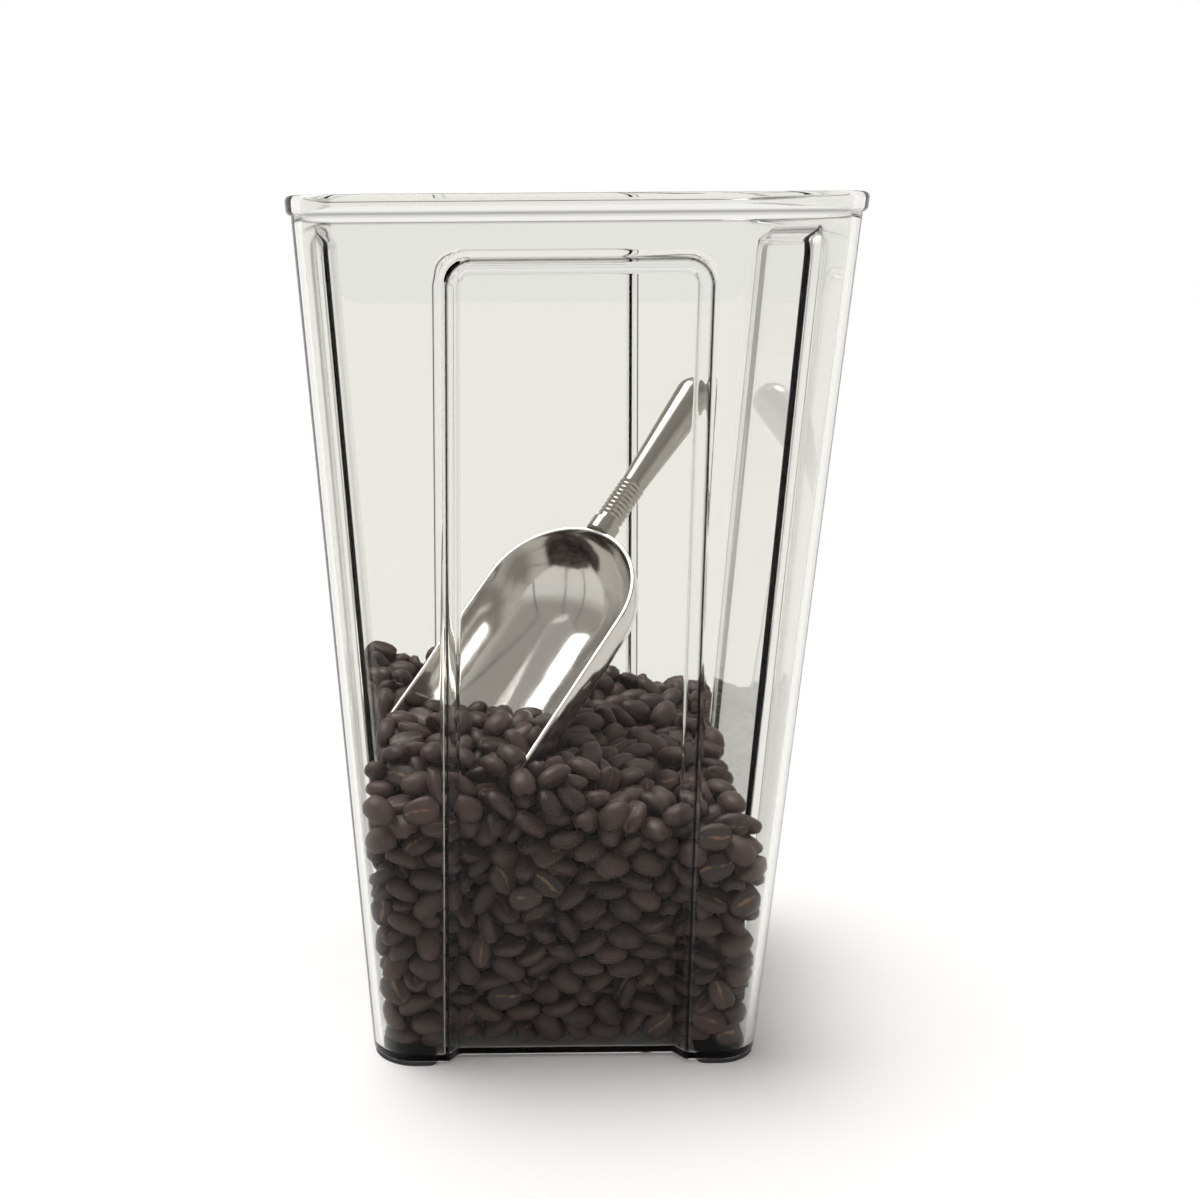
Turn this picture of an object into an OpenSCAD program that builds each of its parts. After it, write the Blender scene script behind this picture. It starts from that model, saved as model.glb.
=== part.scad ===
// Clear square bin for roasted coffee beans, with a metal scoop standing in the beans.
// The tub is one moulding: tapered walls, a pushed-in panel in each wall that runs out
// through the base, and a rounded bead round the mouth. It stands on four corner pads.
// Millimetres. Front faces -Y, +Z is up, z = 0 is the surface the pads stand on.

/* [Tub] */
// Width over the bead, front to back and side to side
rim_width = 160; // [150:1:170]
// Width of the moulding at its base
base_width = 118; // [114:1:124]
// Height from the standing surface to the top of the bead
total_height = 260; // [245:1:280]
// Wall thickness
wall = 2.6; // [2.2:0.1:3]
// Floor thickness
floor_thickness = 1.7; // [1.4:0.1:3]
// Outside radius of the four upright corners
corner_radius = 13; // [11:0.5:15]

/* [Bead] */
// How far the bead stands out beyond the wall
bead_reach = 1.3; // [1:0.1:2]
// Height of the bead
bead_height = 5.6; // [5:0.1:7]
// Rounding of the bead's edges
bead_round = 1.6; // [1:0.1:1.8]

/* [Wall panels] */
// Width of each pushed-in panel at the wall surface
panel_width = 73.5; // [66:0.5:76]
// How far a panel is pushed in
panel_depth = 4.2; // [3:0.1:5]
// Width of the rounded step round a panel
panel_step = 4.5; // [4:0.5:6]
// Radius of a panel's upper corners
panel_corner = 8; // [7:0.5:11]
// From the top of the bead to the top of the front and back panels
front_panel_drop = 17; // [15:0.5:22]
// From the top of the bead to the top of the side panels
side_panel_drop = 10; // [9:0.5:14]

/* [Foot pads] */
// Pad thickness
pad_thickness = 1.3; // [1:0.1:2.5]
// Pad length along each side of a corner post
pad_length = 19; // [16:0.5:19]
// Inset of the pad from the outline of the base
pad_inset = 0.5; // [0:0.1:1]
// Radius of the pad's inner corners
pad_corner = 3; // [2:0.5:4]

/* [Beans] */
// Level of the top of the bed at the middle of the bin
bed_level = 84; // [76:1:88]
// Fall of the bed towards the right, degrees
bed_fall = 5.7; // [3:0.1:7]
// Room between the bed and the tub
bed_gap = 0.4; // [0.3:0.1:0.8]
// Length of a roasted bean
bean_length = 11.6; // [11:0.1:12]
// Width of a bean
bean_width = 8; // [7:0.1:8.4]
// Height of a bean over its flat side
bean_height = 5; // [4.4:0.1:5.6]
// Width of the crease in the flat side
crease_width = 0.9; // [0.6:0.1:1.2]
// Depth of the crease
crease_depth = 0.8; // [0.5:0.1:1.2]
// Distance between beans in the top layer
bean_pitch = 12.6; // [12.4:0.1:14]

/* [Scoop] */
// Outside radius of the trough and of its rounded end
bowl_radius = 28; // [26:0.5:29]
// Length of the bowl from the lip to the rounded end
bowl_length = 98; // [90:1:99]
// Metal thickness of the bowl
bowl_wall = 1.4; // [1.2:0.1:2]
// Backward slope of the lip, degrees
lip_slope = 14; // [8:1:18]
// Handle length
handle_length = 70; // [60:1:72]
// Handle thickness at the neck
neck_thickness = 8.4; // [8:0.1:9]
// Handle thickness near its free end
grip_thickness = 13.4; // [12.4:0.1:14]
// Number of fine rings at the neck
ring_count = 9; // [7:1:10]
// Distance between rings
ring_pitch = 1.7; // [1.6:0.1:2]
// Height of a ring
ring_height = 0.35; // [0.2:0.05:0.4]
// Where the rounded end of the bowl meets the handle, to the right of the middle
scoop_x = 16; // [13:0.5:18]
// The same point, back from the middle
scoop_y = 15; // [12:0.5:17]
// The same point, above the standing surface
scoop_z = 152; // [150:1:156]
// Heading of the handle, degrees from the right towards the back
scoop_heading = 39; // [37:0.5:41]
// Lean of the scoop from upright, degrees
scoop_lean = 47; // [46:0.5:48]
// Turn of the scoop about its own length, degrees
scoop_turn = -80; // [-82:1:-78]
// Room left between the scoop and the bed along its way up
scoop_gap = 1; // [0.6:0.1:2]

/* [Hidden] */
$fn = 64;
slack = 1;
spare = 5;
wall_top = rim_width / 2 - bead_reach;
wall_base = base_width / 2;
wall_rise = total_height - pad_thickness;
wall_lean = atan((wall_top - wall_base) / wall_rise);
inner_floor = pad_thickness + floor_thickness;
wall_offset = wall / cos(wall_lean);
thin = 0.02;
step_sides = 6;
outside = 6;
panel_below = 8;
bead_setback = 0.5;
bead_inner = wall_top - wall_offset + bead_setback;
bead_corner = corner_radius + bead_reach;
pad_middle = wall_base - pad_inset - pad_length / 2;
lens_sum = bean_length * bean_length / bean_width / 2;
lens_radius = (bean_width / 2 + lens_sum) / 2;
lens_shift = lens_radius - bean_width / 2;
dome_ease = 0.6;
dome_radius = (bean_length * bean_length / 4 + bean_height * bean_height) / (2 * bean_height) + dome_ease;
bean_room = 0.62 * bean_length;
bean_seat = 0.7;
side_relief = 0.45 * bean_width;
column_pitch = 1.25 * bean_length;
row_pitch = 1.1 * bean_length;
bed_slope = tan(bed_fall);
layer_span = 5;
neck_start = 3;
rings_from = 3.4;
ring_share = 0.4;
nose_sides = 8;
collar_thickness = 10;
collar_height = 1.4;
collar_root = bowl_radius / 4;
collar_overhang = 2.5;
clear_way = 10;

// Half width of the outside of the tub at height z
function half_at(z) = wall_base + (wall_top - wall_base) * (z - pad_thickness) / wall_rise;
// Rounded step: share of the full depth at share s across the step
function step_share(s) = (1 - cos(180 * s)) / 2;
// Steady scatter between -1 and 1 for bean number i, kind k
function scatter(i, k) = 2 * rands(0, 1, 1, i * 7 + k * 131 + 11)[0] - 1;
// Directions of the scoop's length and of its width
scoop_axis = [
    sin(scoop_lean) * cos(scoop_heading),
    sin(scoop_lean) * sin(scoop_heading),
    cos(scoop_lean)
];
scoop_side = [
    cos(scoop_heading) * cos(scoop_lean) * cos(scoop_turn) - sin(scoop_heading) * sin(scoop_turn),
    sin(scoop_heading) * cos(scoop_lean) * cos(scoop_turn) + cos(scoop_heading) * sin(scoop_turn),
    -sin(scoop_lean) * cos(scoop_turn)
];
scoop_back = cross(scoop_axis, scoop_side);

// Tapered block with rounded upright corners, drawn in from the outside of the tub by inset
module tapered_block(inset, z_low, z_high) {
    intersection() {
        hull()
            for (z = [z_low - spare, z_high + spare])
                for (x = [-1, 1])
                    for (y = [-1, 1])
                        translate([x * (half_at(z) - corner_radius), y * (half_at(z) - corner_radius), z])
                            cylinder(r = corner_radius - inset, h = thin);
        translate([-rim_width, -rim_width, z_low])
            cube([2 * rim_width, 2 * rim_width, z_high - z_low]);
    }
}

// Outline across a panel's edge: full depth inside, rounded step, wall surface
function step_points(edge) = [
    for (i = [0:step_sides])
        [edge - panel_step * (1 - i / step_sides), -panel_depth * (1 - step_share(i / step_sides))]
];
function mirrored(points) = [for (i = [len(points) - 1:-1:0]) [-points[i][0], points[i][1]]];
// The same outline closed off along the middle of the panel, for its top edge and upper corners
function edge_points(reach) =
    concat([[0, -panel_depth]], step_points(reach), [[reach, outside], [0, outside]]);

// Space taken out of one wall by its panel. Lies on the wall surface: x across, y up, z outward
module panel_space(half_width, top, bottom) {
    middle = half_width - panel_corner;
    side = step_points(half_width);
    rise = top - panel_corner;
    translate([0, rise, 0])
        rotate([90, 0, 0])
            linear_extrude(height = rise - bottom)
                polygon(concat([[-half_width, outside]], mirrored(side), side, [[half_width, outside]]));
    translate([middle, rise, 0])
        rotate([0, -90, 0])
            rotate([0, 0, -90])
                mirror([1, 0, 0])
                    linear_extrude(height = 2 * middle)
                        polygon(edge_points(panel_corner));
    for (turn = [0, 1])
        translate([turn == 0 ? middle : -middle, rise, 0])
            rotate([0, 0, turn * 90])
                rotate_extrude(angle = 90)
                    polygon(edge_points(panel_corner));
}

// The four panel spaces, measured from the outside of the tub or from a surface drawn in by inset
module panel_spaces(inset, spread) {
    for (i = [0:3])
        let (drop = i % 2 == 0 ? front_panel_drop : side_panel_drop)
            rotate([0, 0, i * 90])
                translate([0, -(wall_base - inset / cos(wall_lean)), pad_thickness])
                    rotate([90 + wall_lean, 0, 0])
                        panel_space(
                            panel_width / 2 + spread,
                            (wall_rise - drop) / cos(wall_lean) + spread,
                            -panel_below
                        );
}

// Inside of the tub, drawn in further by gap
module inner_space(gap, z_low, z_high) {
    difference() {
        tapered_block(wall + gap, z_low, z_high);
        panel_spaces(wall + gap, wall / 2 + gap);
    }
}

module bead_outline() {
    width = rim_width / 2 - bead_inner;
    translate([bead_round, 0])
        square([width - 2 * bead_round, bead_height]);
    translate([0, bead_round])
        square([width, bead_height - 2 * bead_round]);
    for (x = [bead_round, width - bead_round])
        for (y = [bead_round, bead_height - bead_round])
            translate([x, y])
                circle(r = bead_round);
}

// Rounded bead round the mouth: four straight runs and four turned corners
module bead() {
    run = rim_width / 2 - bead_corner;
    for (i = [0:3])
        rotate([0, 0, i * 90])
            translate([0, 0, total_height - bead_height]) {
                translate([bead_inner, run, 0])
                    rotate([90, 0, 0])
                        linear_extrude(height = 2 * run)
                            bead_outline();
                translate([run, run, 0])
                    rotate_extrude(angle = 90)
                        translate([bead_inner - run, 0])
                            bead_outline();
            }
}

module bin_shell() {
    color([0.88, 0.91, 0.92, 0.35])
        difference() {
            union() {
                difference() {
                    tapered_block(0, pad_thickness, total_height - bead_height / 2);
                    panel_spaces(0, 0);
                }
                bead();
            }
            inner_space(0, inner_floor, total_height + slack);
        }
}

// One pad, rounded like the corner of the base on its outer side
module foot_pad(x, y) {
    outer = corner_radius - pad_inset;
    half = pad_length / 2;
    color([0.06, 0.06, 0.065])
        translate([x * pad_middle, y * pad_middle, 0])
            mirror([x < 0 ? 1 : 0, 0, 0])
                mirror([0, y < 0 ? 1 : 0, 0])
                    linear_extrude(height = pad_thickness) {
                        intersection() {
                            translate([half - outer, half - outer])
                                circle(r = outer);
                            translate([half - outer, half - outer])
                                square(outer);
                        }
                        for (x_inner = [-half + pad_corner, half - pad_corner])
                            translate([x_inner, -half + pad_corner])
                                circle(r = pad_corner);
                        translate([-half + pad_corner, half - pad_corner])
                            circle(r = pad_corner);
                        translate([-half, -half + pad_corner])
                            square([pad_length - outer, pad_length - 2 * pad_corner]);
                        translate([-half + pad_corner, -half])
                            square([pad_length - 2 * pad_corner, pad_length - outer]);
                        translate([-half, -half + pad_corner])
                            square([pad_length, pad_length - outer - pad_corner]);
                        translate([-half + pad_corner, -half])
                            square([pad_length - outer - pad_corner, pad_length]);
                    }
}

// Puts what is drawn along +Z, opening towards -Y, where the scoop stands
module in_scoop_place() {
    translate([scoop_x, scoop_y, scoop_z])
        rotate([0, 0, scoop_heading])
            rotate([0, scoop_lean, 0])
                rotate([0, 0, scoop_turn])
                    children();
}

// Round-ended trough, full round
module trough(radius, length) {
    translate([0, 0, -length])
        cylinder(r = radius, h = length - bowl_radius);
    translate([0, 0, -bowl_radius])
        sphere(r = radius);
}

module scoop_bowl() {
    color([0.78, 0.79, 0.8])
        in_scoop_place()
            difference() {
                trough(bowl_radius, bowl_length);
                trough(bowl_radius - bowl_wall, bowl_length + slack);
                translate([-2 * bowl_radius, -2 * bowl_radius, -2 * bowl_length])
                    cube([4 * bowl_radius, 2 * bowl_radius, 3 * bowl_length]);
                translate([-2 * bowl_radius, bowl_radius, -bowl_length])
                    rotate([-lip_slope, 0, 0])
                        translate([0, -3 * bowl_radius, -bowl_length])
                            cube([4 * bowl_radius, 4 * bowl_radius, bowl_length]);
            }
}

// Handle outline from the neck to the rounded end: rings, long taper, round nose
function handle_points() = concat(
    [[0, neck_start], [neck_thickness / 2, neck_start]],
    [
        for (i = [0:ring_count - 1])
            for (k = [0:2])
                [
                    neck_thickness / 2 + (k == 1 ? ring_height : 0),
                    neck_start + rings_from + ring_pitch * (i + k * ring_share)
                ]
    ],
    [
        for (i = [0:nose_sides])
            let (bend = i * 90 / nose_sides)
                [grip_thickness / 2 * cos(bend), handle_length - grip_thickness / 2 * (1 - sin(bend))]
    ]
);

module scoop_handle() {
    color([0.74, 0.75, 0.76])
        in_scoop_place()
            difference() {
                translate([0, collar_thickness / 2 - collar_overhang, 0]) {
                    rotate_extrude()
                        polygon(handle_points());
                    translate([0, 0, -collar_root])
                        cylinder(d = collar_thickness, h = neck_start + collar_height + collar_root);
                }
                translate([0, 0, -bowl_radius])
                    sphere(r = bowl_radius);
            }
}

// One roasted bean lying on its flat side, with the crease along its length
module bean() {
    difference() {
        intersection() {
            translate([0, lens_shift, 0])
                sphere(r = lens_radius);
            translate([0, -lens_shift, 0])
                sphere(r = lens_radius);
            translate([0, 0, bean_height - dome_radius])
                sphere(r = dome_radius);
            translate([-bean_length, -bean_length, 0])
                cube([2 * bean_length, 2 * bean_length, 2 * bean_height]);
        }
        translate([-bean_length, -crease_width / 2, -slack])
            cube([2 * bean_length, crease_width, slack + crease_depth]);
    }
}

// A bean with its flat side down or, turned over, with the crease showing
module laid_bean(flip, turn) {
    rotate([0, 0, turn])
        if (flip)
            translate([0, 0, bean_height])
                rotate([180, 0, 0])
                    bean();
        else
            bean();
}

// Beans that show through the walls, in staggered rows: across each panel, beside it and in the corner
module side_beans() {
    rows = ceil((bed_level + half_at(bed_level) * bed_slope - inner_floor) / row_pitch);
    panel_reach = panel_width / 2 - panel_step;
    for (turn = [0:3])
        rotate([0, 0, turn * 90])
            for (row = [0:rows - 1])
                let (
                    z = inner_floor + (row + 0.5) * row_pitch,
                    depth = half_at(z) - wall_offset - bed_gap - bean_length / 2,
                    arc_middle = half_at(z) - corner_radius,
                    post = (panel_width / 2 + arc_middle) / 2,
                    corner = arc_middle + (depth - arc_middle) * cos(45),
                    shift = (row % 2) * column_pitch / 2
                ) {
                    for (x = [-2 * column_pitch + shift:column_pitch:panel_reach])
                        translate([x, panel_depth - depth, z])
                            sphere(d = bean_length);
                    for (x = [-post, post])
                        translate([x, -depth, z])
                            sphere(d = bean_length);
                    translate([corner, -corner, z])
                        sphere(d = bean_length);
                }
}

module bean_bed() {
    color([0.23, 0.16, 0.13])
        difference() {
            union() {
                inner_space(bed_gap + side_relief, inner_floor, 2 * bed_level);
                side_beans();
            }
            translate([0, 0, bed_level])
                rotate([0, bed_fall, 0])
                    translate([-rim_width, -rim_width, 0])
                        cube([2 * rim_width, 2 * rim_width, rim_width]);
            in_scoop_place() {
                trough(bowl_radius + scoop_gap, bowl_length + scoop_gap);
                translate([-bowl_radius - clear_way, -rim_width, -bowl_length - scoop_gap])
                    cube([2 * bowl_radius + clear_way + scoop_gap, rim_width, bowl_length]);
            }
        }
}

// Whether a bean at point p stays clear of the scoop and of its way up
function clear_of_scoop(p) =
    let (
        d = p - [scoop_x, scoop_y, scoop_z],
        across = d * scoop_side,
        behind = d * scoop_back,
        along = d * scoop_axis,
        room = bowl_radius + scoop_gap + bean_room
    )
    along < -bowl_length - bean_length
    || abs(across) > room + (across < 0 ? clear_way : 0)
    || (behind > 0 && norm([across, behind]) > room);

module surface_beans() {
    color([0.27, 0.19, 0.15])
        for (i = [-layer_span:layer_span])
            for (j = [-layer_span:layer_span])
                let (
                    number = (i + layer_span) * (2 * layer_span + 1) + j + layer_span,
                    x = i * bean_pitch * cos(bed_fall),
                    y = j * bean_pitch,
                    z = bed_level - x * bed_slope,
                    edge = half_at(z) - wall - bed_gap - panel_depth - bean_room
                )
                    if (abs(x) < edge && abs(y) < edge && clear_of_scoop([x, y, z + bean_height / 2]))
                        translate([x, y, z])
                            rotate([0, bed_fall, 0])
                                translate([0, 0, thin])
                                    laid_bean(scatter(number, 1) > 0, 90 * scatter(number, 2));
}

// A few beans lying in the mouth of the bowl, carried by the scoop.
// Each place: degrees round the trough, bean lengths from the lip, turn of the bean in degrees
module scooped_beans() {
    color([0.27, 0.19, 0.15])
        in_scoop_place()
            for (place = [[-29, 1.4, -52], [0, 0.9, 20], [30, 1.6, 96], [-13, 2.1, -12]])
                rotate([0, 0, place[0]])
                    translate([0, bowl_radius - bowl_wall - bean_seat, place[1] * bean_length - bowl_length])
                        rotate([90, 0, 0])
                            laid_bean(false, place[2]);
}

bin_shell();
foot_pad(-1, -1);  // foot_front_left
foot_pad(1, -1);  // foot_front_right
foot_pad(-1, 1);  // foot_back_left
foot_pad(1, 1);  // foot_back_right
bean_bed();
surface_beans();
scoop_bowl();
scoop_handle();
scooped_beans();
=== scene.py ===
import math

import bmesh
import bpy
import numpy as np
from mathutils import Matrix, Vector


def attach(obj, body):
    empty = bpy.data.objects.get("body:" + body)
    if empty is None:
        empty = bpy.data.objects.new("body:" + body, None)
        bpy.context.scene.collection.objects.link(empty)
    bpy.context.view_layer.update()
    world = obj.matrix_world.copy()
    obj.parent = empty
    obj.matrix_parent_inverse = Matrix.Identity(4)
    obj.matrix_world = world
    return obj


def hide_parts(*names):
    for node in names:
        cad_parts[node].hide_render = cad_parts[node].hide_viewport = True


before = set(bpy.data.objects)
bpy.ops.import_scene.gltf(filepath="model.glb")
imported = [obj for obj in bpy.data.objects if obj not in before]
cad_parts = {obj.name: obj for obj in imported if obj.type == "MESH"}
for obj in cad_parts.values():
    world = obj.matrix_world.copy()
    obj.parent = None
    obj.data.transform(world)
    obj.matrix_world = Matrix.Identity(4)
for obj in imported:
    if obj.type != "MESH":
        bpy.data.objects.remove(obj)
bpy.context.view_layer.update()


# Tub: one clear injection-moulded shell, square in plan and wider at the mouth.
# Each wall has a pushed-in panel that runs out through the base, so four corner posts stand proud.
# The mouth is stiffened by a solid bead; everything else sits in or under this piece.
MM = 0.001  # sizes are in millimetres, the scene is in metres
HEIGHT = 260.0
PAD_THICKNESS = 1.3
FLOOR_TOP = 3.0
WALL = 2.6
CORNER = 13.0
WALL_BASE = 59.0  # half the outer width where the walls start
WALL_TOP = 78.7  # half the outer width at the mouth, under the bead
EDGE_ROUND = 0.8
BASE_BORDER = 9.0
PANEL_HALF = 36.75
PANEL_DEPTH = 4.2
PANEL_STEP = 4.5
PANEL_CORNER = 8.0
FRONT_PANEL_TOP = HEIGHT - 17.0
SIDE_PANEL_TOP = HEIGHT - 10.0
PANEL_FLAT = 26.0
STEP_START = 28.5
STEP_END = PANEL_HALF + 1.5
BEAD_REACH = 1.3
BEAD_HEIGHT = 5.6
BEAD_ROUND = 1.6
PLAIN_LOW, PLAIN_HIGH = 18.0, 222.0  # the straight stretch of the walls
SHOULDER_LOW, SHOULDER_HIGH = 226.0, 252.5  # the stretch that holds the rounded panel tops
INNER_TOP = 255.5


# Half the outer width of the leaning walls at a height.
def half_width(z):
    return WALL_BASE + (WALL_TOP - WALL_BASE) * (z - PAD_THICKNESS) / (HEIGHT - PAD_THICKNESS)


# How far a spot on the wall lies inside the panel's round-shouldered outline; spread widens the outline.
def inside_panel(x, z, top, spread):
    half = PANEL_HALF + spread
    over_x = abs(x) - (half - PANEL_CORNER)
    over_z = z - (top + spread - PANEL_CORNER)
    if over_z <= 0:
        return half - abs(x)
    if over_x <= 0:
        return top + spread - z
    return PANEL_CORNER - math.hypot(over_x, over_z)


# The step down into the panel is a smooth S from the outline inwards.
def panel_depth(inside):
    share = np.clip(inside / PANEL_STEP, 0.0, 1.0)
    return PANEL_DEPTH * (1 - np.cos(np.pi * share)) / 2


# Thick clear plastic looks black where it bends, because of what it refracts there; here that is painted
# shade in its colour:
# a strong line at the start of the step, a weak one at its foot.
LINE_WIDTH = 0.42
OUTER_LINE, OUTER_DARK = 0.7, 1.5
INNER_LINE, INNER_DARK = 3.8, 0.35


def bend_shade(inside):
    outer = OUTER_DARK * math.exp(-(((inside - OUTER_LINE) / LINE_WIDTH) ** 2))
    inner = INNER_DARK * math.exp(-(((inside - INNER_LINE) / LINE_WIDTH) ** 2))
    return min(outer, 1.0) + inner


# Adds a node with its settings; each link is a socket and what feeds it, another socket or a plain value.
def add_node(tree, kind, links=(), **settings):
    node = tree.nodes.new(kind)
    for key, value in settings.items():
        setattr(node, key, value)
    for target, source in links:
        if isinstance(source, bpy.types.NodeSocket):
            tree.links.new(source, node.inputs[target])
        else:
            node.inputs[target].default_value = source
    return node


# An sRGB hex colour as the linear colour that the sockets take.
def linear(code):
    values = [int(code[i : i + 2], 16) / 255 for i in (1, 3, 5)]
    return [v / 12.92 if v <= 0.04045 else ((v + 0.055) / 1.055) ** 2.4 for v in values] + [1.0]


def new_material(name):
    material = bpy.data.materials.new(name)
    material.use_nodes = True
    material.node_tree.nodes.clear()
    return material, material.node_tree


# Turns a finished bmesh into a smooth-shaded piece of one material.
def new_piece(name, mesh_builder, material):
    for face in mesh_builder.faces:
        face.smooth = True
    mesh = bpy.data.meshes.new(name)
    mesh_builder.to_mesh(mesh)
    mesh_builder.free()
    mesh.materials.append(material)
    made = bpy.data.objects.new(name, mesh)
    bpy.context.scene.collection.objects.link(made)
    return made


# Columns of one wall's grid, corner to corner: millimetres across the panel and its step, then shares of the
# flat of the post, then degrees round half the corner.
right_half = [("flat", x) for x in np.linspace(STEP_START, STEP_END, 31)]
right_half += [("post", share) for share in np.linspace(0.25, 1, 4)]
right_half += [("arc", turn) for turn in np.linspace(45 / 8, 45, 8)]
left_half = [(kind, -amount) for kind, amount in reversed(right_half)]
columns = left_half + [("flat", x) for x in np.linspace(-PANEL_FLAT, PANEL_FLAT, 5)] + right_half

# Rows of the grid, from the base up the outside, over the bead and down the inside: height, distance out from
# the wall's outer face, and how much wider the panel's outline is there.
INSIDE = (-WALL, WALL / 2)
quarter_turn = np.radians(np.linspace(0, 90, 6))
bead_start = -math.degrees(math.acos(1 - BEAD_REACH / BEAD_ROUND))
bead_low = HEIGHT - BEAD_HEIGHT + BEAD_ROUND
bead_high = HEIGHT - BEAD_ROUND
rows = [(PAD_THICKNESS, -BASE_BORDER, 0.0)]
for turn in quarter_turn:
    rows.append((PAD_THICKNESS + EDGE_ROUND * (1 - math.cos(turn)), -EDGE_ROUND * (1 - math.sin(turn)), 0.0))
rows += [(z, 0.0, 0.0) for z in np.linspace(PLAIN_LOW, PLAIN_HIGH, 13)]
rows += [(z, 0.0, 0.0) for z in np.linspace(SHOULDER_LOW, SHOULDER_HIGH, 66)]
for out, z, start, end in (
    (BEAD_REACH - BEAD_ROUND, bead_low, bead_start, 0),
    (BEAD_REACH - BEAD_ROUND, bead_high, 0, 90),
    (BEAD_ROUND - WALL, bead_high, 90, 180),
):
    for turn in np.radians(np.linspace(start, end, 7)):
        rows.append((z + BEAD_ROUND * math.sin(turn), out + BEAD_ROUND * math.cos(turn), 0.0))
rows += [(z, *INSIDE) for z in np.linspace(INNER_TOP, SHOULDER_LOW, 36)]
rows += [(z, *INSIDE) for z in np.linspace(PLAIN_HIGH, PLAIN_LOW, 12)]
for turn in quarter_turn:
    inwards = WALL + EDGE_ROUND * (1 - math.cos(turn))
    rows.append((FLOOR_TOP + EDGE_ROUND * (1 - math.sin(turn)), -inwards, WALL / 2))

shell_mesh = bmesh.new()
painted_shade_layer = shell_mesh.verts.layers.float.new("painted_step_shade")
for wall in range(4):
    panel_top = FRONT_PANEL_TOP if wall % 2 == 0 else SIDE_PANEL_TOP
    to_side = Matrix.Rotation(math.radians(90 * wall), 3, "Z")
    grid = bmesh.ops.create_grid(
        shell_mesh, x_segments=len(columns) - 1, y_segments=len(rows) - 1, size=1.0
    )["verts"]
    for vert in grid:
        kind, amount = columns[round((vert.co.x + 1) / 2 * (len(columns) - 1))]
        z, out, spread = rows[round((vert.co.y + 1) / 2 * (len(rows) - 1))]
        corner_middle = half_width(z) - CORNER
        face = half_width(z) + out
        if kind == "flat":
            inside = inside_panel(amount, z, panel_top, spread)
            x, y = amount, face - panel_depth(inside)
            # Painted shade: how dark the plastic's colour is painted at this spot of the step bend.
            if spread == 0.0:
                vert[painted_shade_layer] = bend_shade(inside)
        elif kind == "post":
            x, y = math.copysign(STEP_END + abs(amount) * (corner_middle - STEP_END), amount), face
        else:
            turn = math.radians(amount)
            x = math.copysign(corner_middle, turn) + (CORNER + out) * math.sin(turn)
            y = corner_middle + (CORNER + out) * math.cos(turn)
        vert.co = to_side @ Vector((x, -y, z)) * MM
bmesh.ops.remove_doubles(shell_mesh, verts=shell_mesh.verts, dist=1e-6)
bmesh.ops.holes_fill(shell_mesh, edges=[e for e in shell_mesh.edges if e.is_boundary], sides=0)
bmesh.ops.recalc_face_normals(shell_mesh, faces=shell_mesh.faces)

# Clear styrene plastic, moulded in a polished tool: glassy and colourless, with thin bright edges.
# The specular tint keeps its reflections as faint as the photograph's; shadows stay light under it.
clear_plastic, tree = new_material("clear_styrene_plastic")
# Painted shade: the bend value mixes the clear colour towards black along the step bends, standing in for
# dark refractions.
bend = add_node(tree, "ShaderNodeAttribute", attribute_name="painted_step_shade")
tint = add_node(
    tree,
    "ShaderNodeMix",
    [("Factor", bend.outputs["Fac"]), (6, linear("#f1f1ee")), (7, linear("#020202"))],
    data_type="RGBA",
)
body = add_node(
    tree,
    "ShaderNodeBsdfPrincipled",
    [
        ("Base Color", tint.outputs[2]),
        ("Roughness", 0.012),
        ("IOR", 1.5),
        ("Specular Tint", linear("#686868")),
        ("Transmission Weight", 1.0),
    ],
)
path = add_node(tree, "ShaderNodeLightPath")
passing = add_node(tree, "ShaderNodeBsdfTransparent", [("Color", linear("#f0f0f0"))])
mixed = add_node(
    tree,
    "ShaderNodeMixShader",
    [(0, path.outputs["Is Shadow Ray"]), (1, body.outputs[0]), (2, passing.outputs[0])],
)
add_node(tree, "ShaderNodeOutputMaterial", [("Surface", mixed.outputs[0])])
shell = new_piece("tub_shell", shell_mesh, clear_plastic)
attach(shell, "bin")
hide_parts("bin_shell")


# Corner pads: four thin black rubber pads stuck under the posts, the only thing that touches the table.
# They stay as the construction has them and only take their finish here.
# Moulded rubber is matt and nearly black, with a faint broad sheen.
pad_rubber, tree = new_material("black_rubber")
body = add_node(
    tree,
    "ShaderNodeBsdfPrincipled",
    [("Base Color", linear("#1c1c1d")), ("Roughness", 0.6), ("IOR", 1.5)],
)
add_node(tree, "ShaderNodeOutputMaterial", [("Surface", body.outputs[0])])
for node in ("foot_front_left", "foot_front_right", "foot_back_left", "foot_back_right"):
    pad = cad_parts[node]
    pad.data.materials.clear()
    pad.data.materials.append(pad_rubber)


# Scoop: a polished aluminium trough with a rounded closed end, pressed from sheet.
# It lies in the beans with its lip buried and its open side up; the handle is welded to the closed end.
BOWL_RADIUS = 28.0
BOWL_LENGTH = 98.0
BOWL_WALL = 1.4
BOWL_EDGE = 0.45
LIP_SLOPE = math.radians(14)
LIP_SPARE = 12.0  # drawn past the lip and cut off by its slant
TROUGH_STEPS = 12
SHARP = math.radians(60)
SCOOP_SPOT = (16, 15, 152)
SCOOP_SWING, SCOOP_LEAN, SCOOP_ROLL = (math.radians(turn) for turn in (39, 47, -80))
scoop_place = (
    Matrix.Translation(SCOOP_SPOT)
    @ Matrix.Rotation(SCOOP_SWING, 4, "Z")
    @ Matrix.Rotation(SCOOP_LEAN, 4, "Y")
    @ Matrix.Rotation(SCOOP_ROLL, 4, "Z")
)

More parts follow.
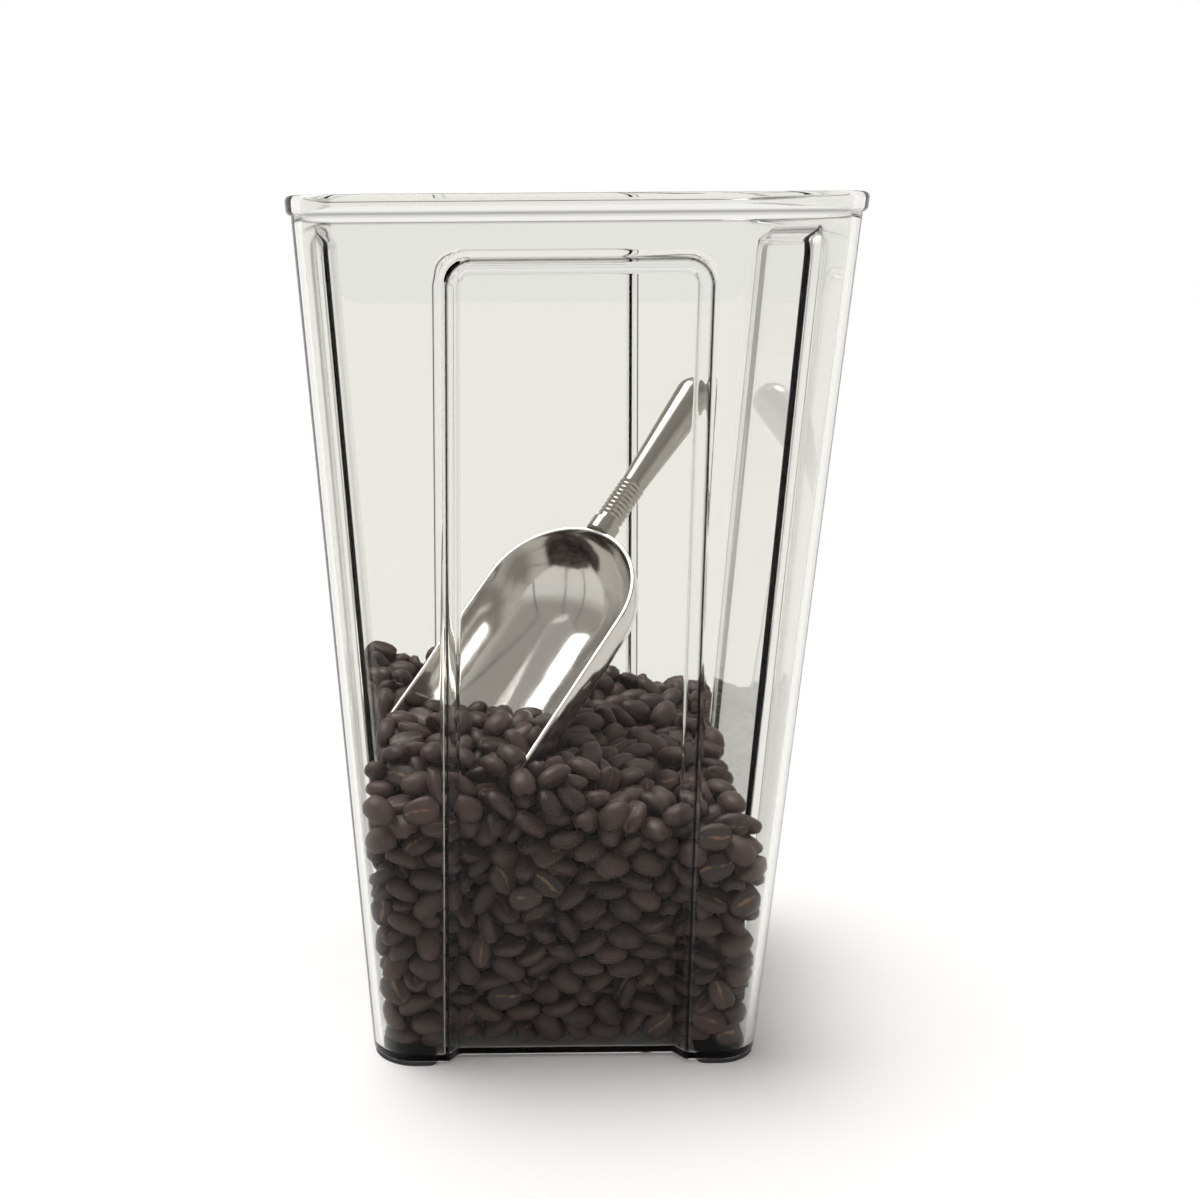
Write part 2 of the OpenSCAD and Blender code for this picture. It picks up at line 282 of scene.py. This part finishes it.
# Half a ring is spun into the closed end, pulled out into the trough, cut to the slanted lip and thickened.
bowl_mesh = bmesh.new()
end_middle = (0, 0, -BOWL_RADIUS)
start = bowl_mesh.verts.new((BOWL_RADIUS, 0, -BOWL_RADIUS))
bmesh.ops.spin(bowl_mesh, geom=[start], cent=end_middle, axis=(0, 0, 1), angle=math.pi, steps=48)
half_ring = list(bowl_mesh.edges)
bmesh.ops.spin(bowl_mesh, geom=half_ring, cent=end_middle, axis=(1, 0, 0), angle=math.pi / 2, steps=24)
pull = (BOWL_LENGTH + LIP_SPARE - BOWL_RADIUS) / TROUGH_STEPS
for step in range(TROUGH_STEPS):
    pulled = bmesh.ops.extrude_edge_only(bowl_mesh, edges=half_ring)["geom"]
    moved = [g for g in pulled if isinstance(g, bmesh.types.BMVert)]
    bmesh.ops.translate(bowl_mesh, verts=moved, vec=(0, 0, -pull))
    half_ring = [g for g in pulled if isinstance(g, bmesh.types.BMEdge) and all(v in moved for v in g.verts)]
bmesh.ops.remove_doubles(bowl_mesh, verts=bowl_mesh.verts, dist=0.01)
bmesh.ops.bisect_plane(
    bowl_mesh,
    geom=[*bowl_mesh.verts, *bowl_mesh.edges, *bowl_mesh.faces],
    plane_co=(0, BOWL_RADIUS, -BOWL_LENGTH),
    plane_no=(0, -math.sin(LIP_SLOPE), -math.cos(LIP_SLOPE)),
    clear_outer=True,
)
bmesh.ops.recalc_face_normals(bowl_mesh, faces=bowl_mesh.faces)
bmesh.ops.solidify(bowl_mesh, geom=bowl_mesh.faces, thickness=BOWL_WALL)
bmesh.ops.recalc_face_normals(bowl_mesh, faces=bowl_mesh.faces)
sharp = [e for e in bowl_mesh.edges if len(e.link_faces) == 2 and e.calc_face_angle() > SHARP]
bmesh.ops.bevel(
    bowl_mesh, geom=sharp, offset=BOWL_EDGE, segments=3, profile=0.5, affect="EDGES", material=-1
)
bmesh.ops.transform(bowl_mesh, matrix=Matrix.Scale(MM, 4) @ scoop_place, verts=bowl_mesh.verts)

POLISH_PATCH = 8.3  # the finish varies from hazy to bright over patches of about this size


# Aluminium: a pale, slightly warm metal whose reflections blur where the polish is uneven.
def aluminium(name, colour, smoothest, roughest):
    material, tree = new_material(name)
    place = add_node(tree, "ShaderNodeTexCoord")
    polish = add_node(
        tree,
        "ShaderNodeTexNoise",
        [
            ("Vector", place.outputs["Object"]),
            ("Scale", 1 / (POLISH_PATCH * MM)),
            ("Detail", 3.0),
            ("Roughness", 0.6),
        ],
    )
    rough = add_node(
        tree,
        "ShaderNodeMapRange",
        [
            ("Value", polish.outputs[0]),
            ("From Min", 0.3),
            ("From Max", 0.7),
            ("To Min", smoothest),
            ("To Max", roughest),
        ],
    )
    body = add_node(
        tree,
        "ShaderNodeBsdfPrincipled",
        [("Base Color", linear(colour)), ("Metallic", 1.0), ("Roughness", rough.outputs[0])],
    )
    add_node(tree, "ShaderNodeOutputMaterial", [("Surface", body.outputs[0])])
    return material


bowl = new_piece("scoop_trough", bowl_mesh, aluminium("polished_aluminium", "#d9d6d2", 0.08, 0.15))
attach(bowl, "scoop")
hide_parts("scoop_bowl")


# Handle: a slim solid aluminium rod, thicker towards its rounded end, with fine turned rings at the neck.
# Its foot is welded to the middle of the closed end of the trough. It is brushed, so duller than the trough.
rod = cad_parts["scoop_handle"]
rod.data.materials.clear()
rod.data.materials.append(aluminium("brushed_aluminium", "#aaa59e", 0.18, 0.26))
for polygon in rod.data.polygons:
    polygon.use_smooth = True


# Beans: roasted coffee beans poured in loose, filling the lower third and sloping down to the right.
# Each is a flat-bellied ellipsoid with a pale crease; they touch the walls and lie round the buried scoop.
BEAN_LONG, BEAN_WIDE, BEAN_THICK = 5.6, 4.1, 3.625  # half sizes
SMALLEST, LARGEST = 0.92, 1.04
CLEAR = 0.35  # room left to the walls and the scoop
BED_TOP = 90.0
SIDE_SLOPE = 0.1
BACK_SLOPE = 0.14
HEAP_HEIGHT = 12.0
HEAP_MIDDLE = np.array([-20.0, -32.0])
HEAP_RADIUS = 26.5
TOP_LAYER = 13.0


# To settle, a bean is two balls of radius GRAIN, GRAIN_SPAN either side of its middle, flattened upright.
GRAIN = 3.6
GRAIN_SPAN = 2.2
FLATTEN = 1.3
PITCH = 8.9
LOOSENESS = 0.8
LATTICE_REACH = 15
PACK_MIDDLE = 55.0
UPRIGHT_SHARE = 0.3
WALL_SLACK = 2.0
BOWL_SLACK = 1.0
RIM_SLACK = 4.0
SETTLE_STEPS = 90
STEPS_PER_SEARCH = 6
SEARCH_REACH = 2.5
PUSH_SHARE = 0.32
SINK = 0.04
FEWEST_TOUCHING = 8


# Moves balls of radius r back inside the floor, the panels, the posts and the round corners.
def wall_push(p, r):
    x, y, z = p[:, 0], p[:, 1], p[:, 2]
    z[:] = np.maximum(z, FLOOR_TOP + r + CLEAR)
    inner = half_width(z) - WALL - CLEAR - r
    for along, across in ((x, y), (y, x)):
        limit = inner - panel_depth(PANEL_HALF + WALL / 2 + r / 2 - np.abs(along))
        across[:] = np.clip(across, -limit, limit)
    corner_middle = half_width(z) - CORNER
    over_x = np.abs(x) - corner_middle
    over_y = np.abs(y) - corner_middle
    reach = np.hypot(over_x, over_y)
    room = CORNER - WALL - CLEAR - r
    far = (over_x > 0) & (over_y > 0) & (reach > room)
    shrink = np.where(far, room / np.maximum(reach, 1e-6), 1.0)
    x[:] = np.where(far, np.sign(x) * (corner_middle + over_x * shrink), x)
    y[:] = np.where(far, np.sign(y) * (corner_middle + over_y * shrink), y)


place_turn = np.array(scoop_place.to_3x3())
place_shift = np.array(scoop_place.translation)


# Where points lie in the scoop's own frame, and which way and how far they are from its axis.
def from_scoop(p):
    local = (p - place_shift) @ place_turn
    core = np.column_stack([local[:, 0], local[:, 1], np.maximum(local[:, 2] + BOWL_RADIUS, 0)])
    return local, core, np.maximum(np.linalg.norm(core, axis=1), 1e-6)


# Keeps balls that lie in the trough off its inner face, and the rest off its outer face.
def bowl_push(p, r, inside):
    local, core, reach = from_scoop(p)
    near = (local[:, 1] > -r) & (local[:, 2] > -BOWL_LENGTH - r)
    low, high = BOWL_RADIUS - BOWL_WALL - r - CLEAR, BOWL_RADIUS + r + CLEAR
    goal = np.where(inside, np.minimum(reach, low), np.maximum(reach, high))
    move = np.where(near, goal - reach, 0.0)
    p += (core / reach[:, None] * move[:, None]) @ place_turn.T


# The beans start on a close-packed lattice, shaken a little, cut off at the walls and at the sloping top.
rng = np.random.default_rng(11)
squeeze = np.array([1.0, 1.0, 1.0 / FLATTEN])
steps = np.arange(-LATTICE_REACH, LATTICE_REACH + 1)
cells = np.stack(np.meshgrid(*[steps] * 3, indexing="ij"), -1).reshape(-1, 3)
lattice = np.array([[0, 1, 1], [1, 0, 1], [1, 1, 0]]) * PITCH / math.sqrt(2)
spots = (cells @ lattice + rng.normal(0, LOOSENESS, cells.shape)) * squeeze + [0, 0, PACK_MIDDLE]
heap = HEAP_HEIGHT * np.exp(-(((spots[:, :2] - HEAP_MIDDLE) / HEAP_RADIUS) ** 2).sum(1))
level = BED_TOP - SIDE_SLOPE * spots[:, 0] + BACK_SLOPE * spots[:, 1] + heap
held = spots.copy()
wall_push(held, GRAIN)
spots = spots[(np.linalg.norm(held - spots, axis=1) < WALL_SLACK) & (spots[:, 2] < level)]
count = len(spots)
spine = rng.normal(0, 1, spots.shape) * [1, 1, UPRIGHT_SHARE]
spine /= np.linalg.norm(spine, axis=1)[:, None]
local, core, reach = from_scoop(spots)
in_bowl = (reach < BOWL_RADIUS - BOWL_SLACK) & (local[:, 1] > -RIM_SLACK)
in_bowl &= local[:, 2] > -BOWL_LENGTH - RIM_SLACK

# Balls that overlap push each other apart while all sink a little, until the beans lie against each other.
ends = np.concatenate([spots - spine * GRAIN_SPAN, spots + spine * GRAIN_SPAN])
bean_of = np.tile(np.arange(count), 2)
for step in range(SETTLE_STEPS):
    wide = ends / squeeze
    if step % STEPS_PER_SEARCH == 0:
        square = (wide**2).sum(1)
        gaps = square[:, None] + square[None, :] - 2 * (wide @ wide.T)
        first, second = np.nonzero(np.triu(gaps < (2 * GRAIN + SEARCH_REACH) ** 2, 1))
        apart = bean_of[first] != bean_of[second]
        first, second = first[apart], second[apart]
    between = wide[second] - wide[first]
    length = np.maximum(np.linalg.norm(between, axis=1), 1e-6)
    push = np.maximum(2 * GRAIN - length, 0) * PUSH_SHARE
    shift = between / length[:, None] * push[:, None] * squeeze
    for axis in range(3):
        ends[:, axis] += np.bincount(second, shift[:, axis], len(ends))
        ends[:, axis] -= np.bincount(first, shift[:, axis], len(ends))
    ends[:, 2] -= SINK
    bowl_push(ends, GRAIN, np.tile(in_bowl, 2))
    wall_push(ends, GRAIN)
    middle = (ends[:count] + ends[count:]) / 2
    spine = ends[count:] - ends[:count]
    spine /= np.linalg.norm(spine, axis=1)[:, None]
    ends = np.concatenate([middle - spine * GRAIN_SPAN, middle + spine * GRAIN_SPAN])

# A bean with too few neighbours would hang loose and is left out; those above the scoop's lip ride with it.
touching = np.bincount(np.concatenate([bean_of[first], bean_of[second]]), minlength=count)
settled = touching >= FEWEST_TOUCHING
local, core, reach = from_scoop(middle)
lip = (BOWL_RADIUS - local[:, 1]) * math.tan(LIP_SLOPE) - BOWL_LENGTH
carried = settled & in_bowl & (local[:, 2] > lip + BEAN_LONG / 2)
left_behind = settled & ~carried
on_top = middle[:, 2] > BED_TOP - SIDE_SLOPE * middle[:, 0] - TOP_LAYER

# Most beans lie flat; some by a wall turn their creased belly to it, and a third are belly up.
TILT = 0.42
KEPT_TILT = 0.4
MEAN_INSET = 0.6 * PANEL_DEPTH
BY_WALL = 8.5
TO_WALL_SHARE = 0.22
TURNED_SHARE = 0.35
facing = rng.normal(0, TILT, (count, 3)) + [0, 0, 1]
edge = half_width(middle[:, 2]) - WALL - MEAN_INSET
for axis in range(2):
    to_wall = (edge - np.abs(middle[:, axis]) < BY_WALL) & (rng.random(count) < TO_WALL_SHARE)
    facing[to_wall] *= KEPT_TILT
    facing[to_wall, axis] += np.sign(middle[to_wall, axis])
facing -= (facing * spine).sum(1)[:, None] * spine
facing /= np.linalg.norm(facing, axis=1)[:, None]
facing *= np.where(rng.random(count) < TURNED_SHARE, -1, 1)[:, None]
tones = rng.random(count)

# One bean: a sphere drawn long, blunt at the ends, flat below, with an S-shaped crease along its belly.
BEAN_SIDES = 10
BLUNTNESS = 0.12
SHARPEST_END = 0.05
BELLY_FLAT = 0.6
CREASE_HALF = 0.12
BEAN_TIP = 0.99
CREASE_DEPTH = 0.34
CREASE_SWAY = 0.14
NARROWING = 0.12
bean_mesh = bmesh.new()
crease_layer = bean_mesh.verts.layers.float.new("bean_crease")
bean_mesh.verts.layers.float.new("bean_tone")
bmesh.ops.create_uvsphere(bean_mesh, u_segments=BEAN_SIDES, v_segments=6, radius=1.0)
lengthwise = Matrix.Rotation(math.pi / BEAN_SIDES, 3, "X") @ Matrix.Rotation(math.pi / 2, 3, "Y")
bmesh.ops.rotate(bean_mesh, verts=bean_mesh.verts, matrix=lengthwise)
for vert in bean_mesh.verts:
    x, y, z = vert.co
    blunt = max(1 - x * x, SHARPEST_END) ** -BLUNTNESS
    y, z = y * blunt, z * blunt
    if z < 0:
        z *= BELLY_FLAT
    if z < 0 and abs(y) < CREASE_HALF and abs(x) < BEAN_TIP:
        vert[crease_layer] = 1.0
        z += CREASE_DEPTH
        y += CREASE_SWAY * math.sin(math.pi * x)
    vert.co = (x * BEAN_LONG, y * BEAN_WIDE * (1 - NARROWING * x), z * BEAN_THICK)
bean_points = np.array([v.co for v in bean_mesh.verts])
one_bean = bpy.data.meshes.new("one_bean")
bean_mesh.to_mesh(one_bean)
bean_mesh.free()

# Roasted coffee bean: dark brown, each bean a little lighter or darker, mottled, with a dull oily sheen.
# Pale skin is left in the crease in worn stretches.
MOTTLE = 3.85
roasted, tree = new_material("roasted_coffee_bean")
tone = add_node(tree, "ShaderNodeAttribute", attribute_name="bean_tone")
crease = add_node(tree, "ShaderNodeAttribute", attribute_name="bean_crease")
place = add_node(tree, "ShaderNodeTexCoord")
mottle = add_node(
    tree,
    "ShaderNodeTexNoise",
    [
        ("Vector", place.outputs["Object"]),
        ("Scale", 1 / (MOTTLE * MM)),
        ("Detail", 4.0),
        ("Roughness", 0.6),
    ],
)
shade = add_node(
    tree,
    "ShaderNodeMix",
    [("Factor", tone.outputs["Fac"]), (6, linear("#2a1c19")), (7, linear("#5d4640"))],
    data_type="RGBA",
)
patchy = add_node(
    tree,
    "ShaderNodeMix",
    [("Factor", mottle.outputs[0]), (6, shade.outputs[2]), (7, linear("#3f2f2c"))],
    data_type="RGBA",
)
worn = add_node(
    tree,
    "ShaderNodeMath",
    [(0, crease.outputs["Fac"]), (1, mottle.outputs[0])],
    operation="MULTIPLY",
)
skin = add_node(
    tree,
    "ShaderNodeMapRange",
    [("Value", worn.outputs[0]), ("From Min", 0.42), ("From Max", 0.54)],
)
coloured = add_node(
    tree,
    "ShaderNodeMix",
    [("Factor", skin.outputs[0]), (6, patchy.outputs[2]), (7, linear("#86664f"))],
    data_type="RGBA",
)
relief = add_node(
    tree,
    "ShaderNodeBump",
    [("Height", mottle.outputs[0]), ("Strength", 0.2), ("Distance", 0.4 * MM)],
)
body = add_node(
    tree,
    "ShaderNodeBsdfPrincipled",
    [
        ("Base Color", coloured.outputs[2]),
        ("Roughness", 0.47),
        ("IOR", 1.48),
        ("Normal", relief.outputs[0]),
    ],
)
add_node(tree, "ShaderNodeOutputMaterial", [("Surface", body.outputs[0])])


# Gathers the chosen beans, each turned, sized and toned, into one piece.
def bean_piece(name, chosen):
    gathered = bmesh.new()
    for index in chosen:
        turn = np.column_stack([spine[index], np.cross(facing[index], spine[index]), facing[index]])
        placed = bean_points * rng.uniform(SMALLEST, LARGEST) @ turn.T + middle[index]
        one_bean.vertices.foreach_set("co", (placed * MM).ravel())
        one_bean.attributes["bean_tone"].data.foreach_set("value", [tones[index]] * len(bean_points))
        gathered.from_mesh(one_bean)
    return new_piece(name, gathered, roasted)


SPLIT_HEIGHT = 40.5  # the buried beans are two pieces, to keep each one's mesh small
low = middle[:, 2] < SPLIT_HEIGHT
for name, chosen, body_name, node in (
    ("beans_low", left_behind & ~on_top & low, "bin", "bean_bed"),
    ("beans_middle", left_behind & ~on_top & ~low, "bin", "bean_bed"),
    ("beans_on_top", left_behind & on_top, "bin", "surface_beans"),
    ("beans_in_scoop", carried, "scoop", "scooped_beans"),
):
    beans = bean_piece(name, np.nonzero(chosen)[0])
    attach(beans, body_name)
    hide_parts(node)


# Studio: a pale floor, one broad soft light overhead and surroundings that are bright at eye level.
# The dimmer ceiling gives the polished scoop something dark to reflect; none of this belongs to the object.
FLOOR_RADIUS = 6.0
floor_mesh = bmesh.new()
bmesh.ops.create_circle(floor_mesh, cap_ends=True, segments=96, radius=FLOOR_RADIUS)
paper, tree = new_material("white_paper")
body = add_node(
    tree, "ShaderNodeBsdfPrincipled", [("Base Color", linear("#f8f8f8")), ("Roughness", 0.7)]
)
add_node(tree, "ShaderNodeOutputMaterial", [("Surface", body.outputs[0])])
floor = new_piece("studio_floor", floor_mesh, paper)

SUN_LINE = (0.35, -0.25, -1.0)
sun_lamp = bpy.data.lights.new("soft_overhead", "SUN")
sun_lamp.energy = 2.1
sun_lamp.angle = math.radians(42)
sun = bpy.data.objects.new("soft_overhead", sun_lamp)
sun.rotation_euler = Vector(SUN_LINE).to_track_quat("-Z", "Y").to_euler()
bpy.context.scene.collection.objects.link(sun)

BRIGHT_BELOW, DIM_ABOVE = 0.17, 0.45  # heights on a sky of radius 1
HORIZON_LIGHT, CEILING_LIGHT = 1.0, 0.62
world = bpy.data.worlds.new("studio_world")
world.use_nodes = True
tree = world.node_tree
tree.nodes.clear()
sky = add_node(tree, "ShaderNodeTexCoord")
upward = add_node(tree, "ShaderNodeSeparateXYZ", [(0, sky.outputs["Generated"])])
dim = add_node(
    tree,
    "ShaderNodeMapRange",
    [
        ("Value", upward.outputs["Z"]),
        ("From Min", BRIGHT_BELOW),
        ("From Max", DIM_ABOVE),
        ("To Min", HORIZON_LIGHT),
        ("To Max", CEILING_LIGHT),
    ],
)
hue = add_node(
    tree,
    "ShaderNodeMix",
    [("Factor", dim.outputs[0]), (6, linear("#b0a497")), (7, linear("#ffffff"))],
    data_type="RGBA",
)
glow = add_node(tree, "ShaderNodeBackground", [("Color", hue.outputs[2]), ("Strength", dim.outputs[0])])
add_node(tree, "ShaderNodeOutputWorld", [("Surface", glow.outputs[0])])
bpy.context.scene.world = world
bpy.context.scene.view_settings.view_transform = "Standard"

# The camera was fitted to the bin's outline, rim, foot and panel edges in the photograph.
CAMERA_SPOT = (-0.0452, -0.5023, 0.2471)
YAW, PITCH_DOWN, ROLL = (math.radians(turn) for turn in (0.23, 8.99, -0.45))
camera_data = bpy.data.cameras.new("photo_camera")
camera_data.sensor_width = 36.0
camera_data.lens = 47.1
camera_data.shift_x = 0.15
camera_data.shift_y = -0.09
camera = bpy.data.objects.new("photo_camera", camera_data)
camera.location = CAMERA_SPOT
level_line = Vector((math.sin(YAW), math.cos(YAW), 0)) * math.cos(PITCH_DOWN)
view_line = level_line - Vector((0, 0, math.sin(PITCH_DOWN)))
looking = view_line.to_track_quat("-Z", "Y").to_matrix() @ Matrix.Rotation(ROLL, 3, "Z")
camera.rotation_euler = looking.to_euler()
bpy.context.scene.collection.objects.link(camera)
bpy.context.scene.camera = camera
